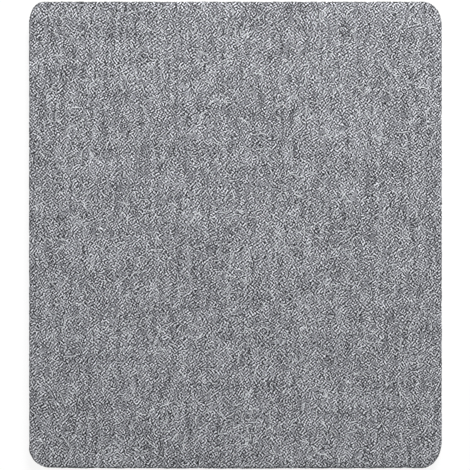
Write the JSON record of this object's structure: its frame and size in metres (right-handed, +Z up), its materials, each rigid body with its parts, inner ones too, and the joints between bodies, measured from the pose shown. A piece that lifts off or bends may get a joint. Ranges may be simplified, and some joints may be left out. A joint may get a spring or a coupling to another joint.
{
  "type": "ironing pad",
  "caption": "Flat rectangular ironing pad of thick grey wool felt, laid up from needled plies, with rounded corners and bare cut edges, laid on a table to press cloth on.",
  "frame": {"origin": "on the table plane, under the middle of the pad", "axes": "+Z up out of the pressing face, +Y from the front edge to the back edge along the pad's long side, +X to the right"},
  "size_m": [0.38, 0.43, 0.0126],
  "materials": {
    "face_felt": "heather-grey pressed wool felt with a short matted nap",
    "core_felt": "heather-grey needled wool felt, bare cut edge"
  },
  "bodies": {
    "root": {"table_face_ply": "face_felt", "core_ply_1": "core_felt", "core_ply_2": "core_felt", "core_ply_3": "core_felt", "pressing_face_ply": "face_felt"}
  },
  "joints": []
}
